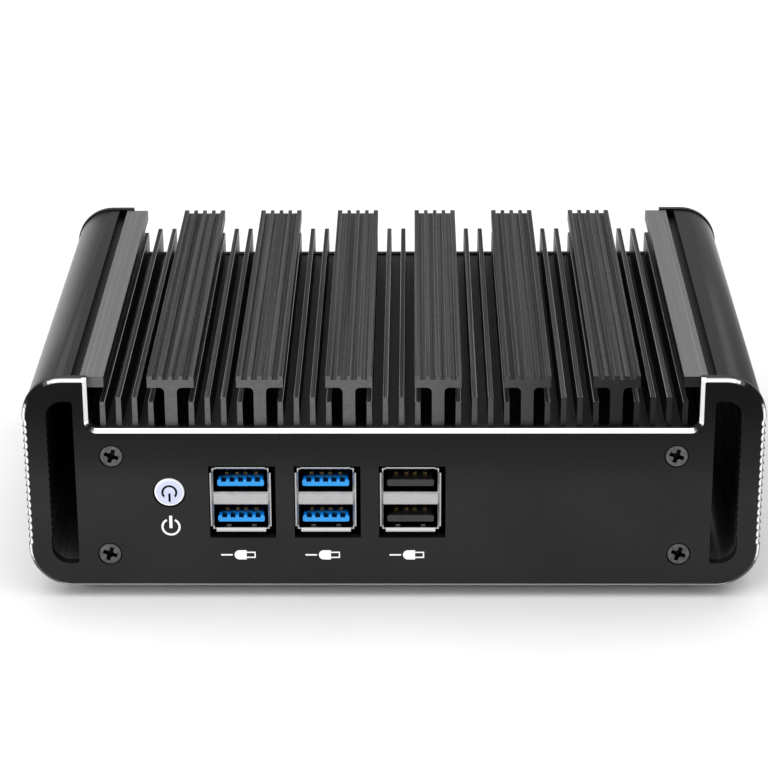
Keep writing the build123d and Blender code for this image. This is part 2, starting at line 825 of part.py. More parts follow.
def usb_insert(x, notches):
    """Moulded plastic inside a double-stack port: the filled back and a tongue low in each mouth."""
    inner_width = usb_width - 2 * usb_wall
    back_depth = usb_depth - usb_wall - usb_cavity_depth
    tongue_y = usb_mouth_y + tongue_setback
    back_y = usb_mouth_y + usb_cavity_depth
    with BuildPart() as insert:
        for z in usb_mouth_z:
            middle = z - usb_mouth_height / 2 + tongue_gap + tongue_thickness / 2
            top = middle + tongue_thickness / 2
            centred_block(inner_width, usb_mouth_height, x, z, back_y, back_depth)
            with BuildSketch(upright(tongue_y)) as tongue:
                with Locations((x, up(middle))):
                    RectangleRounded(tongue_width, tongue_thickness, tongue_round)
            extrude(tongue.sketch, amount=tongue_setback - usb_cavity_depth)
            notch_z = top - notch_depth / 2
            for i in range(notches):
                notch_x = x + (i - (notches - 1) / 2) * notch_pitch
                centred_block(
                    notch_width, notch_depth, notch_x, notch_z, tongue_y, notch_length, Mode.SUBTRACT
                )
    return insert.part


def usb_contacts(x):
    """Gold contact springs standing on the upper side of both tongues."""
    start_y = usb_mouth_y + tongue_setback + contact_start
    length = usb_cavity_depth - tongue_setback - contact_start
    with BuildPart() as contacts:
        for z in usb_mouth_z:
            top = z - usb_mouth_height / 2 + tongue_gap + tongue_thickness
            middle = top + contact_height / 2
            for offset in contact_offsets:
                centred_block(contact_width, contact_height, x + offset, middle, start_y, length)
    return contacts.part


for x, name, notches in zip(usb_centres, ("usb3_left", "usb3_right", "usb2"), (5, 5, 0)):
    save(usb_shell(x), f"{name}_shell")
    save(usb_insert(x, notches), f"{name}_tongues")
    save(usb_contacts(x), f"{name}_contacts")


# ---------------------------------------------------------------- power button


def disc(radius, x, z, front_y, depth, mode=Mode.ADD):
    """Round block with its axis along Y, reaching back from front_y by depth."""
    with BuildSketch(upright(front_y)) as face:
        with Locations((x, up(z))):
            Circle(radius)
    extrude(face.sketch, amount=-depth, mode=mode)


def power_symbol(size, stroke, gap, bar_down):
    """Open ring with a bar through its gap, drawn around the local origin."""
    side = -1 if bar_down else 1
    with BuildSketch() as symbol:
        Circle(size)
        Circle(size - stroke, mode=Mode.SUBTRACT)
        with Locations((0, side * size)):
            Rectangle(gap, size, mode=Mode.SUBTRACT)
        with Locations((0, side * size * 0.7)):
            SlotOverall(size * 1.2, stroke, rotation=90)
    return symbol.sketch


with BuildPart() as power_button_cap:
    disc(button_radius, button_x, button_z, button_front_y, button_back_y - button_front_y)
    fillet(power_button_cap.edges().group_by(Axis.Y)[0], 0.35)
    disc(button_flange_radius, button_x, button_z, button_back_y, button_flange)
    with BuildSketch(upright(button_front_y)):
        with Locations((button_x, up(button_z))):
            add(power_symbol(symbol_radius, symbol_stroke, symbol_gap, bar_down=True))
    extrude(amount=-symbol_depth, mode=Mode.SUBTRACT)
save(power_button_cap.part, "power_button_cap")

with BuildPart() as power_button_symbol:
    with BuildSketch(upright(button_front_y)):
        with Locations((button_x, up(button_z))):
            add(power_symbol(symbol_radius, symbol_stroke, symbol_gap, bar_down=True))
    extrude(amount=-symbol_depth)
save(power_button_symbol.part, "power_button_symbol")

with BuildPart() as power_button_plunger:
    disc(plunger_radius, button_x, button_z, button_back_y + button_flange, plunger_length)
save(power_button_plunger.part, "power_button_plunger")

with BuildPart() as power_switch:
    centred_block(switch_width, switch_width, button_x, button_z, switch_front_y, switch_depth)
    slab((button_x, switch_front_y + switch_depth / 2), switch_width, switch_depth, button_z, board_bottom_z)
    disc(plunger_radius + plunger_gap, button_x, button_z, switch_front_y, switch_bore, Mode.SUBTRACT)
save(power_switch.part, "power_switch")

with BuildPart() as power_led:
    led_z = button_z - (switch_width + power_led_height) / 2
    centred_block(power_led_width, power_led_height, button_x, led_z, switch_front_y, power_led_depth)
save(power_led.part, "power_led")


# ---------------------------------------------------------------- rear ports


def rear_block(width, low, high, x, rear_y, depth, mode=Mode.ADD):
    """Block centred on x between two heights, reaching forward from rear_y by depth."""
    with BuildSketch(upright(rear_y)) as face:
        upright_bar(x, width, low, high)
    extrude(face.sketch, amount=depth, mode=mode)


jack_low_z = jack_top_z - lan_height
shell_inside = (lan_width - 2 * lan_wall, jack_low_z + lan_wall, jack_top_z - lan_wall)
shell_inside_depth = lan_depth - lan_wall
for number, x in enumerate(lan_centres, start=1):
    with BuildPart() as lan_shell:
        rear_block(lan_width, jack_low_z, jack_top_z, x, port_rear_y, lan_depth)
        rear_block(*shell_inside, x, port_rear_y, shell_inside_depth, Mode.SUBTRACT)
    save(lan_shell.part, f"lan_{number}_shell")

    with BuildPart() as lan_insert:
        insert_y, insert_depth = port_rear_y - lan_insert_setback, shell_inside_depth - lan_insert_setback
        latch_low_z, latch_high_z = plug_low_z - latch_height, plug_low_z + 0.1
        rear_block(*shell_inside, x, insert_y, insert_depth)
        rear_block(plug_width, plug_low_z, plug_high_z, x, port_rear_y, plug_depth, Mode.SUBTRACT)
        rear_block(latch_width, latch_low_z, latch_high_z, x, port_rear_y, plug_depth, Mode.SUBTRACT)
        for led_at in (x - led_x, x + led_x):
            rear_block(led_width, led_low_z, led_high_z, led_at, port_rear_y, led_depth, Mode.SUBTRACT)
    save(lan_insert.part, f"lan_{number}_insert")

with BuildPart() as lan_contacts:
    contact_low_z, contact_y = plug_high_z - lan_contact_height, port_rear_y - lan_contact_setback
    contact_length = plug_depth - lan_contact_setback - 1.0
    for x in lan_centres:
        for i in range(lan_contact_count):
            contact_x = x + (i - (lan_contact_count - 1) / 2) * lan_contact_pitch
            rear_block(lan_contact_width, contact_low_z, plug_high_z, contact_x, contact_y, contact_length)
save(lan_contacts.part, "lan_contacts")

for name, side in (("lan_link_leds", -1), ("lan_activity_leds", 1)):
    with BuildPart() as leds:
        led_y, led_length = port_rear_y - led_setback, led_depth - led_setback
        for x in lan_centres:
            rear_block(led_width, led_low_z, led_high_z, x + side * led_x, led_y, led_length)
    save(leds.part, name)


def rear_outline(x, width, height, foot_width, knee, inset=0.0):
    """Profile of a hooded video port: full width down to the knee, then narrowing to its foot."""
    high, low, knee_z = jack_top_z - inset, jack_top_z - height + inset, jack_top_z - knee
    half_top, half_foot = width / 2 - inset, foot_width / 2 - inset
    with BuildSketch() as sketch:
        with BuildLine():
            Polyline(
                (x - half_top, up(high)),
                (x + half_top, up(high)),
                (x + half_top, up(knee_z)),
                (x + half_foot, up(low)),
                (x - half_foot, up(low)),
                (x - half_top, up(knee_z)),
                close=True,
            )
        make_face()
    return sketch.sketch


for name, x, width, height, foot_width, knee in video_ports:
    with BuildPart() as video_shell:
        with BuildSketch(upright(port_rear_y)):
            add(rear_outline(x, width, height, foot_width, knee))
        extrude(amount=video_depth)
        with BuildSketch(upright(port_rear_y)):
            add(rear_outline(x, width, height, foot_width, knee, video_wall))
        extrude(amount=video_cavity, mode=Mode.SUBTRACT)
    save(video_shell.part, f"{name}_shell")

    with BuildPart() as video_tongue:
        low, high = jack_top_z - height / 2 - 0.6, jack_top_z - height / 2 + 0.8
        rear_block(width * 0.72, low, high, x, port_rear_y - video_setback, video_cavity - video_setback)
    save(video_tongue.part, f"{name}_tongue")

with BuildPart() as dc_jack_housing:
    rear_block(dc_body_width, dc_z - dc_body_drop, jack_top_z, dc_x, half_body - 0.2, dc_body_depth)
    with BuildSketch(upright(port_rear_y)):
        with Locations((dc_x, up(dc_z))):
            Circle(dc_radius)
    extrude(amount=port_rear_y - half_body + 0.3)
    with BuildSketch(upright(port_rear_y)):
        with Locations((dc_x, up(dc_z))):
            Circle(dc_bore_radius)
    extrude(amount=dc_bore_depth, mode=Mode.SUBTRACT)
save(dc_jack_housing.part, "dc_jack_housing")

with BuildPart() as dc_jack_pin:
    with BuildSketch(upright(port_rear_y - dc_pin_setback)):
        with Locations((dc_x, up(dc_z))):
            Circle(dc_pin_radius)
    extrude(amount=dc_bore_depth - dc_pin_setback)
    fillet(dc_jack_pin.edges().group_by(Axis.Y)[-1], 0.4)
save(dc_jack_pin.part, "dc_jack_pin")

with BuildPart() as antenna_hole_plugs:
    for side in (-1, 1):
        with BuildSketch(upright(half_depth)) as rim:
            with Locations((side * antenna_x, up(antenna_z))):
                Circle(antenna_hole_radius + antenna_plug_rim)
        extrude(rim.sketch, amount=-port_proud)
        with BuildSketch(upright(half_depth)) as stem:
            with Locations((side * antenna_x, up(antenna_z))):
                Circle(antenna_hole_radius - antenna_plug_gap)
        extrude(stem.sketch, amount=panel_thickness + 1.0)
save(antenna_hole_plugs.part, "antenna_hole_plugs")
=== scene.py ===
import json
import math

import bmesh
import bpy
from mathutils import Matrix, Vector


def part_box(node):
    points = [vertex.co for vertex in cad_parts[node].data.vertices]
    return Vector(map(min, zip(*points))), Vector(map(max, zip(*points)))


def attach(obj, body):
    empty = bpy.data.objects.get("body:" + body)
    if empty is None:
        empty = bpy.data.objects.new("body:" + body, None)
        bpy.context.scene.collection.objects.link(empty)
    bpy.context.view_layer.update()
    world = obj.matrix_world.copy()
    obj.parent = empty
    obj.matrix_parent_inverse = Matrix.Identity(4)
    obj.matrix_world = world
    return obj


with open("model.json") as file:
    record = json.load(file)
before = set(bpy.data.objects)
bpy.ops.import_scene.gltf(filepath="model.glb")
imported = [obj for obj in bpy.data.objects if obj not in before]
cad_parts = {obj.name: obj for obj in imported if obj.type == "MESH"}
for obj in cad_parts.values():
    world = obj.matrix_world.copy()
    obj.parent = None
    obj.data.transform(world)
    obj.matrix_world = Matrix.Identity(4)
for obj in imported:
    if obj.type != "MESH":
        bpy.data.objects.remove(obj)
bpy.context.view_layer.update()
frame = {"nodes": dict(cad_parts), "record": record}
nodes = frame["nodes"]

MM = 0.001
panel_low, panel_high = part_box("front_panel")
cap_low, cap_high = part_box("power_button_cap")
front_y = panel_low[1]
button_centre = Vector(((cap_low[0] + cap_high[0]) / 2, front_y, (cap_low[2] + cap_high[2]) / 2))

# Places on the object in millimetres: X outwards from the middle, Z up from the floor, and depth inwards
# from the outer face of the nearer end panel. First the pairs for ramps: where a ramp is 0 and where it is 1.
INSIDE_SHOULDERS_X = (75.2, 75.0)
SHOULDER_X = (76.9, 77.0)
SHOULDER_CURVE_X = (79.5, 87.0)
SHOULDER_SIDE_X = (86.3, 88.7)
BELOW_ROOF_Z = (49.0, 46.0)
CHANNEL_INNER_WALL_X = (84.0, 83.8)
CHANNEL_FOOT_Z = (26.0, 12.0)
FIN_TOP_Z = (50.5, 50.7)
RIDGE_SIDE_Z = (56.6, 56.7)
RIDGE_TOP_Z = (57.3, 57.5)
STRIP_INNER_X = (69.0, 69.1)
STRIP_OUTER_X = (75.0, 74.8)
STRIP_TOP_Z = (57.2, 57.4)
SAWN_PAINTED_SHADE_X = (-10.0, 60.0)

PANEL_PAINTED_SHADE_Z = (28.0, 41.0)
PANEL_PAINTED_DARK_Z = (38.0, 53.0)
NOTCH_FLOOR_Z = (44.0, 46.0)
FLUTES_BOTTOM_Z = (14.0, 14.4)
FLUTES_TOP_Z = (47.8, 47.4)
FLUTES_X = (85.0, 85.5)
CHAMFER_OUTER_DEPTH = (0.0, 0.3)
CHAMFER_INNER_DEPTH = (0.8, 0.55)
OUTSIDE_NOTCH_X = (74.0, 74.4)
PANEL_FOOT_Z = (30.0, 25.0)

TONGUE_PAINTED_GLOW_DEPTH = (3.8, 1.8)
TONGUE_SHADE_DEPTH = (2.5, 5.0)
BUTTON_RING_RADIUS = (3.15, 3.3)
BUTTON_SHADE_DEPTH = (0.35, 0.7)

# Then the middles of features, and how far each feature reaches from its middle.
PANEL_SCREWS_X = (68.5,)
PANEL_SCREWS_Z = (11.9, 37.9)
PANEL_SCREW_REACH_X = 4.2
PANEL_SCREW_REACH_Z = 3.6
TONGUE_TOPS_Z = (21.85, 31.35)
TONGUE_TOP_REACH = 0.1
TONGUE_NOTCH_DEPTH = 1.2

# The sockets of a Mix node that hold a, b and the result, for each type of value.
MIX_SOCKETS = {"RGBA": (6, 7, 2), "FLOAT": (2, 3, 0)}


# ---------------------------------------------------------------- material building blocks


class Graph:
    """A material's node tree, with one short call for each kind of node used here."""

    def __init__(self, name):
        self.material = bpy.data.materials.new(name)
        self.material.use_nodes = True
        self.tree = self.material.node_tree
        self.shader = self.tree.nodes["Principled BSDF"]
        self.coords = self.tree.nodes.new("ShaderNodeTexCoord")

    def node(self, kind, inputs=None, **settings):
        made = self.tree.nodes.new(kind)
        for key, value in settings.items():
            setattr(made, key, value)
        for key, value in (inputs or {}).items():
            self.set(made.inputs[key], value)
        return made

    def set(self, socket, value):
        if isinstance(value, bpy.types.NodeSocket):
            self.tree.links.new(value, socket)
        else:
            socket.default_value = value

    def shader_values(self, **values):
        for key, value in values.items():
            self.set(self.shader.inputs[key.replace("_", " ")], value)

    def point(self, stretch=(1, 1, 1)):
        """The object's own coordinates, squeezed along each axis by the numbers given."""
        mapping = self.node("ShaderNodeMapping", {"Vector": self.coords.outputs["Object"], "Scale": stretch})
        return mapping.outputs["Vector"]

    def noise(self, scale, stretch=(1, 1, 1), detail=4.0):
        made = self.node(
            "ShaderNodeTexNoise",
            {"Vector": self.point(stretch), "Scale": scale, "Detail": detail, "Roughness": 0.55},
        )
        return made.outputs["Fac"]

    def cloud(self, scale, stretch=(1, 1, 1), detail=4.0):
        """A noise drawn out so that it runs from 0 to 1."""
        return self.spread(self.noise(scale, stretch, detail), 0.3, 0.7)

    def spread(self, value, low, high, out_high=1.0):
        """0 where the value is low and out_high where it is high, with a smooth step in between."""
        made = self.node(
            "ShaderNodeMapRange",
            {"Value": value, "From Min": low, "From Max": high, "To Min": 0.0, "To Max": out_high},
            interpolation_type="SMOOTHSTEP",
        )
        return made.outputs["Result"]

    def ramp(self, value, places):
        """0 at the first place and 1 at the second, both in millimetres."""
        return self.spread(value, places[0] * MM, places[1] * MM)

    def math(self, operation, a, b=0.0):
        made = self.node("ShaderNodeMath", operation=operation)
        self.set(made.inputs[0], a)
        self.set(made.inputs[1], b)
        return made.outputs["Value"]

    def magnitude(self, value):
        return self.math("ABSOLUTE", value)

    def product(self, *factors):
        """1 only where every one of the factors is 1."""
        result = factors[0]
        for factor in factors[1:]:
            result = self.math("MULTIPLY", result, factor)
        return result

    def inverse(self, factor):
        return self.math("SUBTRACT", 1.0, factor)

    def near_any(self, value, places, reach):
        """1 within reach of any of the places, all in millimetres."""
        total = 0.0
        for place in places:
            away = self.magnitude(self.math("SUBTRACT", value, place * MM))
            total = self.math("ADD", self.math("LESS_THAN", away, reach * MM), total)
        return total

    def mixed(self, kind, factor, a, b):
        first, second, result = MIX_SOCKETS[kind]
        made = self.node("ShaderNodeMix", data_type=kind)
        self.set(made.inputs["Factor"], factor)
        self.set(made.inputs[first], a)
        self.set(made.inputs[second], b)
        return made.outputs[result]

    def blend(self, factor, a, b):
        """Colour a where the factor is 0 and colour b where it is 1."""
        return self.mixed("RGBA", factor, a, b)

    def mix(self, factor, a, b):
        """Number a where the factor is 0 and number b where it is 1."""
        return self.mixed("FLOAT", factor, a, b)

    def base_colour(self):
        return self.shader.inputs["Base Color"].links[0].from_socket

    def axes(self, output):
        made = self.node("ShaderNodeSeparateXYZ", {"Vector": output})
        return made.outputs["X"], made.outputs["Y"], made.outputs["Z"]

    def face_normal(self):
        return self.axes(self.node("ShaderNodeNewGeometry").outputs["True Normal"])

    def place(self):
        return self.axes(self.coords.outputs["Object"])

    def depth_behind_panel(self):
        """Distance in from the outer face of whichever end panel is nearer."""
        _, y, _ = self.place()
        return self.math("SUBTRACT", -front_y, self.magnitude(y))

    def bump(self, height, distance, strength=1.0):
        made = self.node("ShaderNodeBump", {"Height": height, "Distance": distance, "Strength": strength})
        self.set(self.shader.inputs["Normal"], made.outputs["Normal"])

    def sharp_edge_band(self, radius):
        """1 along sharp outer edges and 0 on open faces, worked out from a rounded normal."""
        rounded = self.node("ShaderNodeBevel", {"Radius": radius}, samples=6).outputs["Normal"]
        plain = self.node("ShaderNodeNewGeometry").outputs["Normal"]
        product = self.node("ShaderNodeVectorMath", {0: rounded, 1: plain}, operation="DOT_PRODUCT")
        return self.spread(product.outputs["Value"], 0.97, 0.75)


def rgb(grey_or_red, green=None, blue=None):
    if green is None:
        return (grey_or_red, grey_or_red, grey_or_red, 1.0)
    return (grey_or_red, green, blue, 1.0)


def paint_depth_shade(graph, depths, shade):
    """Painted shade: darkens a colour between two depths in millimetres behind the face of the nearer end
    panel.
    """
    painted_deep_shade = graph.ramp(graph.depth_behind_panel(), depths)
    graph.shader_values(Base_Color=graph.blend(painted_deep_shade, graph.base_colour(), shade))


def varied(name, dark, light, rough, scale, stretch=(1, 1, 1), metallic=0.0, bump=0.0, bump_scale=None):
    """A material whose colour, roughness and surface all follow one or two noises."""
    graph = Graph(name)
    cloud = graph.cloud(scale, stretch)
    graph.shader_values(
        Base_Color=graph.blend(cloud, dark, light),
        Roughness=graph.mix(cloud, *rough),
        Metallic=metallic,
    )
    if bump:
        graph.bump(graph.noise(bump_scale or scale * 4, stretch), bump)
    return graph


# ---------------------------------------------------------------- materials


def anodised_extrusion():
    """Black anodised extrusion: die lines along its fins and paler sawn ends, with painted light: lighter fin
    tops, painted highlights and painted shadow on the cap ridges, a painted sheen on the shoulders, a painted
    pool of light in the side channels, a painted reflection on the ledge strips, painted highlights on the
    edge flats and painted shade across the sawn ends.
    """
    graph = Graph("anodised_extrusion")
    across, along, upward = graph.face_normal()
    x, _, z = graph.place()
    from_middle = graph.magnitude(x)
    between_shoulders = graph.ramp(from_middle, INSIDE_SHOULDERS_X)
    lines = graph.product(graph.spread(graph.noise(1.0, (2300, 5, 2300)), 0.4, 0.6), between_shoulders)
    speckle = graph.spread(graph.noise(1.0, (2600, 900, 2600), detail=3), 0.35, 0.65)
    streaks = graph.mix(speckle, graph.product(lines, 0.55), lines)

    # Painted light: faces turned up at the fin tops are painted lighter than the flanks, as if lit from
    # above.
    facing_up = graph.spread(upward, 0.9, 0.95)
    fin_tone = graph.blend(streaks, rgb(0.014), rgb(0.024))
    painted_lit_top_tone = graph.blend(streaks, rgb(0.008), rgb(0.115))
    tone = graph.blend(graph.product(facing_up, graph.ramp(z, FIN_TOP_Z)), fin_tone, painted_lit_top_tone)
    # Painted highlight: the tops of the cap ridges are painted a little lighter.
    painted_ridge_highlight = graph.product(facing_up, graph.ramp(z, RIDGE_TOP_Z))
    tone = graph.blend(graph.product(painted_ridge_highlight, 0.15), tone, rgb(0.14))
    # Painted shadow: the flanks of the cap ridges are painted near-black.
    painted_ridge_shadow = graph.product(graph.spread(upward, 0.3, 0.2), graph.ramp(z, RIDGE_SIDE_Z))
    tone = graph.blend(painted_ridge_shadow, tone, rgb(0.002))

    # Painted sheen: the shoulders are painted lighter as they curve outwards and down the side, and dark
    # again below the roof.
    shoulder = graph.ramp(from_middle, SHOULDER_X)
    painted_sheen = graph.blend(graph.ramp(from_middle, SHOULDER_CURVE_X), rgb(0.036), rgb(0.13))
    painted_sheen = graph.blend(graph.ramp(from_middle, SHOULDER_SIDE_X), painted_sheen, rgb(0.3))
    cloud = graph.spread(graph.noise(60, (1, 0.2, 1), detail=3), 0.3, 0.7, out_high=0.25)
    painted_sheen = graph.blend(cloud, painted_sheen, rgb(0.045))
    tone = graph.blend(shoulder, tone, painted_sheen)
    tone = graph.blend(graph.product(shoulder, graph.ramp(z, BELOW_ROOF_Z)), tone, rgb(0.045))
    # Painted light: the lower part of each side channel is painted light grey, a painted pool of light.
    in_channel = graph.product(shoulder, graph.ramp(from_middle, CHANNEL_INNER_WALL_X))
    tone = graph.blend(graph.product(in_channel, graph.ramp(z, CHANNEL_FOOT_Z)), tone, rgb(0.3))

    # Painted reflection: the tops of the ledge strips are painted light grey.
    painted_strip_reflection = graph.product(
        graph.product(graph.ramp(from_middle, STRIP_INNER_X), graph.ramp(from_middle, STRIP_OUTER_X)),
        graph.product(facing_up, graph.ramp(z, STRIP_TOP_Z)),
    )
    tone = graph.blend(painted_strip_reflection, tone, graph.blend(cloud, rgb(0.24), rgb(0.27)))

    sawn = graph.spread(graph.magnitude(along), 0.8, 0.9)
    saw_grain = graph.cloud(1.0, (900, 900, 5200), detail=3)
    sawn_tone = graph.blend(saw_grain, rgb(0.1), rgb(0.14))
    # Painted shade: the sawn ends darken from left to right across the object.
    sawn_tone = graph.blend(graph.ramp(x, SAWN_PAINTED_SHADE_X), sawn_tone, rgb(0.018))
    tone = graph.blend(sawn, tone, sawn_tone)

    # Between the shoulders only the flats cut along the edges slant, and they are painted near-white as a
    # painted highlight.
    slant = graph.product(graph.magnitude(across), graph.magnitude(upward))
    painted_edge_highlight = graph.product(graph.spread(slant, 0.1, 0.2), between_shoulders)
    graph.shader_values(
        Base_Color=graph.blend(painted_edge_highlight, tone, rgb(0.8)),
        Roughness=graph.mix(sawn, graph.mix(lines, 0.36, 0.46), 0.5),
        Metallic=0.85,
    )
    graph.bump(lines, 0.00001, 0.3)
    return graph.material


def panel_plate():
    """Black anodised plate with a fine bead-blasted grain and a polished cut along its rim, with painted
    light: a painted reflection darker towards the top, painted shadow in the countersinks, and a painted
    highlight and painted corner reflections on the cut.
    """
    graph = Graph("panel_plate")
    across, along, upward = graph.face_normal()
    x, _, z = graph.place()
    from_middle = graph.magnitude(x)
    grain = graph.noise(5200, detail=3)
    tone = graph.blend(graph.cloud(45, detail=3), rgb(0.021), rgb(0.0255))
    # Painted reflection: the plate is painted darker towards its top, as if the floor's reflection fades
    # upwards.
    tone = graph.blend(graph.ramp(z, PANEL_PAINTED_SHADE_Z), tone, rgb(0.012))
    tone = graph.blend(graph.ramp(z, PANEL_PAINTED_DARK_Z), tone, rgb(0.003))

    slope = graph.magnitude(along)
    edge_face = graph.product(graph.spread(slope, 0.2, 0.1), graph.ramp(z, NOTCH_FLOOR_Z))
    tone = graph.blend(edge_face, tone, rgb(0.05))
    cut = graph.product(graph.spread(slope, 0.55, 0.6), graph.spread(slope, 0.85, 0.8))
    sunk = screw_zone(graph, from_middle, z)
    rim = graph.product(cut, graph.inverse(sunk))
    # Painted shadow: the cut faces of the countersinks round the screws are painted near-black.
    tone = graph.blend(graph.product(cut, sunk), tone, rgb(0.004))

    # The cut is polished metal; its bright core with darker borders, and its full brightness near the notch,
    # are a painted highlight.
    depth = graph.depth_behind_panel()
    highlight_core = graph.product(graph.ramp(depth, CHAMFER_OUTER_DEPTH), graph.ramp(depth, CHAMFER_INNER_DEPTH))
    away_from_notch = graph.math(
        "MAXIMUM", graph.ramp(from_middle, OUTSIDE_NOTCH_X), graph.ramp(z, PANEL_FOOT_Z)
    )
    line = graph.mix(away_from_notch, 1.0, highlight_core)
    polish_and_highlight = graph.blend(line, rgb(0.12), rgb(0.95, 0.95, 0.96))
    fluted = graph.product(
        graph.ramp(z, FLUTES_BOTTOM_Z), graph.ramp(z, FLUTES_TOP_Z), graph.ramp(from_middle, FLUTES_X)
    )
    # Painted reflection: where the cut turns round a corner it is painted dark, except over the flutes.
    painted_corner_shade = graph.spread(graph.magnitude(graph.product(across, upward)), 0.09, 0.2)
    polish_and_highlight = graph.blend(graph.product(painted_corner_shade, graph.inverse(fluted)), polish_and_highlight, rgb(0.035))
    graph.shader_values(
        Base_Color=graph.blend(rim, tone, polish_and_highlight),
        Roughness=graph.mix(rim, graph.mix(graph.spread(grain, 0.3, 0.7), 0.42, 0.5), 0.13),
        Metallic=graph.mix(rim, 0.6, 1.0),
        Specular_IOR_Level=0.22,
    )
    graph.bump(grain, 0.00001, 0.35)
    return graph.material


def screw_zone(graph, from_middle, z):
    """1 around the four countersunk screws of an end panel and 0 elsewhere."""
    beside = graph.near_any(from_middle, PANEL_SCREWS_X, PANEL_SCREW_REACH_X)
    return graph.product(beside, graph.near_any(z, PANEL_SCREWS_Z, PANEL_SCREW_REACH_Z))


def powder_coat():
    graph = varied("powder_coat", rgb(0.03), rgb(0.045), (0.45, 0.6), 300, bump=0.00004, bump_scale=1800)
    return graph.material


def moulded_rubber():
    graph = varied("moulded_rubber", rgb(0.018), rgb(0.032), (0.75, 0.9), 500, bump=0.00005, bump_scale=2600)
    return graph.material


def blackened_screw(name, recess_depth=None):
    """Blackened steel, painted brighter along its edges as a painted highlight, with painted shade past the
    recess depth in millimetres.
    """
    graph = varied(name, rgb(0.08), rgb(0.14), (0.3, 0.45), 900, metallic=1.0, bump=0.00002)
    # Painted highlight: the sharp edges are painted lighter.
    painted_edge_highlight = graph.product(graph.sharp_edge_band(0.12 * MM), 0.5)
    tone = graph.blend(painted_edge_highlight, graph.base_colour(), rgb(0.4))
    if recess_depth:
        # Painted shade: the recess is painted near-black past the recess depth.
        sunk = graph.ramp(graph.depth_behind_panel(), (recess_depth, recess_depth + 0.25))
        tone = graph.blend(sunk, tone, rgb(0.006))
    graph.shader_values(Base_Color=tone)
    return graph.material


def plated_steel():
    dark, light = rgb(0.6, 0.6, 0.61), rgb(0.72, 0.72, 0.73)
    return varied("plated_steel", dark, light, (0.22, 0.34), 420, metallic=1.0, bump=0.00001).material


def socket_steel(name, tone, shade_depths):
    """Plated steel of a socket's shell, with painted shade darkening it further in from its mouth."""
    graph = varied(name, rgb(tone), rgb(tone * 1.12), (0.28, 0.36), 420, metallic=1.0, bump=0.000004)
    paint_depth_shade(graph, shade_depths, rgb(0.03))
    return graph.material


def circuit_board():
    """Solder mask over copper: straight tracks show as a lighter green, with tinned pads between."""
    graph = Graph("circuit_board")
    tracks = graph.node(
        "ShaderNodeTexBrick",
        {"Vector": graph.point(), "Scale": 160.0, "Mortar Size": 0.03, "Brick Width": 1.4},
    ).outputs["Fac"]
    cells = graph.node(
        "ShaderNodeTexVoronoi", {"Vector": graph.point(), "Scale": 420.0, "Randomness": 0.35}
    ).outputs["Distance"]
    pads = graph.spread(cells, 0.2, 0.14)
    mask = graph.blend(tracks, rgb(0.006, 0.05, 0.03), rgb(0.015, 0.11, 0.065))
    pad_cluster = graph.product(pads, graph.spread(graph.noise(90), 0.52, 0.6))
    graph.shader_values(
        Base_Color=graph.blend(pad_cluster, mask, rgb(0.75, 0.72, 0.62)),
        Roughness=graph.mix(pad_cluster, 0.32, 0.22),
        Metallic=pad_cluster,
    )
    graph.bump(tracks, 0.00003, 0.6)
    return graph.material


def turned_brass():
    dark, light = rgb(0.6, 0.42, 0.16), rgb(0.76, 0.56, 0.24)
    return varied("turned_brass", dark, light, (0.25, 0.4), 700, metallic=1.0).material


def milled_copper():
    dark, light = rgb(0.78, 0.38, 0.24), rgb(0.9, 0.5, 0.34)
    return varied("milled_copper", dark, light, (0.25, 0.42), 240, (1, 12, 1), 1.0, 0.00001).material


def chip_moulding():
    return varied("chip_moulding", rgb(0.02), rgb(0.035), (0.5, 0.65), 1500, bump=0.00002).material


def polished_silicon():
    dark, light = rgb(0.16, 0.16, 0.2), rgb(0.24, 0.24, 0.28)
    return varied("polished_silicon", dark, light, (0.12, 0.2), 200, metallic=0.8).material


def aluminium_can():
    return varied("aluminium_can", rgb(0.7), rgb(0.82), (0.3, 0.45), 600, (1, 1, 0.1), 1.0, 0.00001).material


def black_plastic():
    graph = varied("black_plastic", rgb(0.012), rgb(0.022), (0.35, 0.5), 800, bump=0.00002, bump_scale=4000)
    return graph.material


def blue_plastic():
    """Blue tongue of a fast port, with painted light: a painted glow on its top, a painted highlight on its
    front lip, painted shade in its contact notches and painted shade towards its back.
    """
    graph = Graph("blue_plastic")
    grain = graph.noise(2400)
    _, along, upward = graph.face_normal()
    _, y, z = graph.place()
    # Painted highlight: faces turned to the front are painted a paler blue.
    front = graph.spread(graph.product(along, -1.0), 0.7, 0.9)
    body = graph.blend(graph.spread(grain, 0.3, 0.7), rgb(0.0, 0.17, 0.55), rgb(0.0, 0.2, 0.62))
    # Painted light: the top near the mouth is given a blue glow, though nothing there is a lamp.
    far, near = (front_y + depth * MM for depth in TONGUE_PAINTED_GLOW_DEPTH)
    level = graph.near_any(z, TONGUE_TOPS_Z, TONGUE_TOP_REACH)
    top = graph.product(graph.spread(upward, 0.7, 0.9), graph.spread(y, far, near), level)
    # Painted shade: faces deeper than the notch depth and off the top level are painted near-black blue.
    behind_front = graph.math("GREATER_THAN", y, front_y + TONGUE_NOTCH_DEPTH * MM)
    painted_notch_shade = graph.product(behind_front, graph.inverse(level))
    body = graph.blend(painted_notch_shade, body, rgb(0.0, 0.012, 0.06))
    graph.shader_values(
        Base_Color=graph.blend(front, body, rgb(0.01, 0.30, 0.78)),
        Roughness=graph.mix(grain, 0.3, 0.5),
        Emission_Color=rgb(0.0, 0.14, 0.6),
        Emission_Strength=graph.spread(top, 0.0, 1.0, out_high=0.6),
    )
    graph.bump(grain, 0.00002, 0.4)
    # Painted shade: the tongue is painted darker further in.
    paint_depth_shade(graph, TONGUE_SHADE_DEPTH, rgb(0.0, 0.006, 0.03))
    return graph.material


